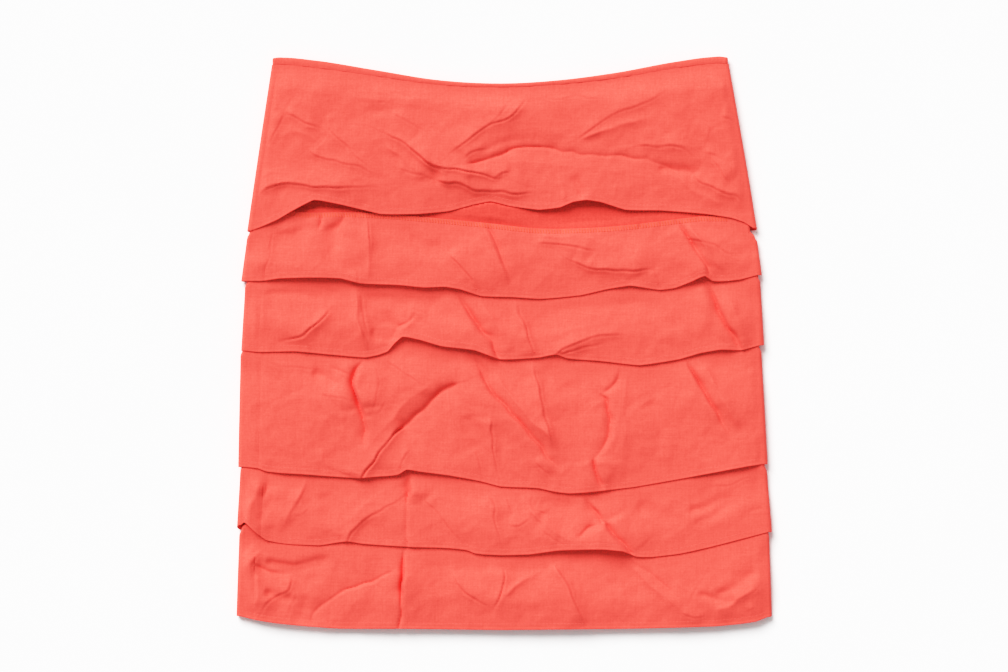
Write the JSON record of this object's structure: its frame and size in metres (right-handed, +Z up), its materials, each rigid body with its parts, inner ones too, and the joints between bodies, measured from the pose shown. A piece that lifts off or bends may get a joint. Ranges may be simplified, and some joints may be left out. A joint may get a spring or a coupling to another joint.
{
  "type": "tiered a-line skirt",
  "caption": "Mini skirt of tiered linen strips sewn to a base skirt, with a narrow waist binding, laid flat front up.",
  "frame": {"origin": "middle of the skirt's box, on the surface it lies on", "axes": "+Y towards the waist, +X towards the skirt's left side (to the right when its front is looked at with the waist at the top), +Z up out of the front"},
  "size_m": [0.445, 0.4758, 0.0159],
  "materials": {
    "tier_cloth": "coral plain-weave linen, matt, softly creased",
    "base_cloth": "the same coral linen, seen only below the first hem and at the side",
    "binding": "a folded strip of the same coral linen, stitched along its lower edge"
  },
  "bodies": {
    "root": {"waist_binding_front": "binding", "waist_binding_back": "binding", "base_skirt_front": "base_cloth", "base_skirt_back": "base_cloth", "tier_1_front": "tier_cloth", "tier_1_back": "tier_cloth", "tier_2_front": "tier_cloth", "tier_2_back": "tier_cloth", "tier_3_front": "tier_cloth", "tier_3_back": "tier_cloth", "tier_4_front": "tier_cloth", "tier_4_back": "tier_cloth", "tier_5_front": "tier_cloth", "tier_5_back": "tier_cloth", "tier_6_front": "tier_cloth", "tier_6_back": "tier_cloth"}
  },
  "joints": []
}
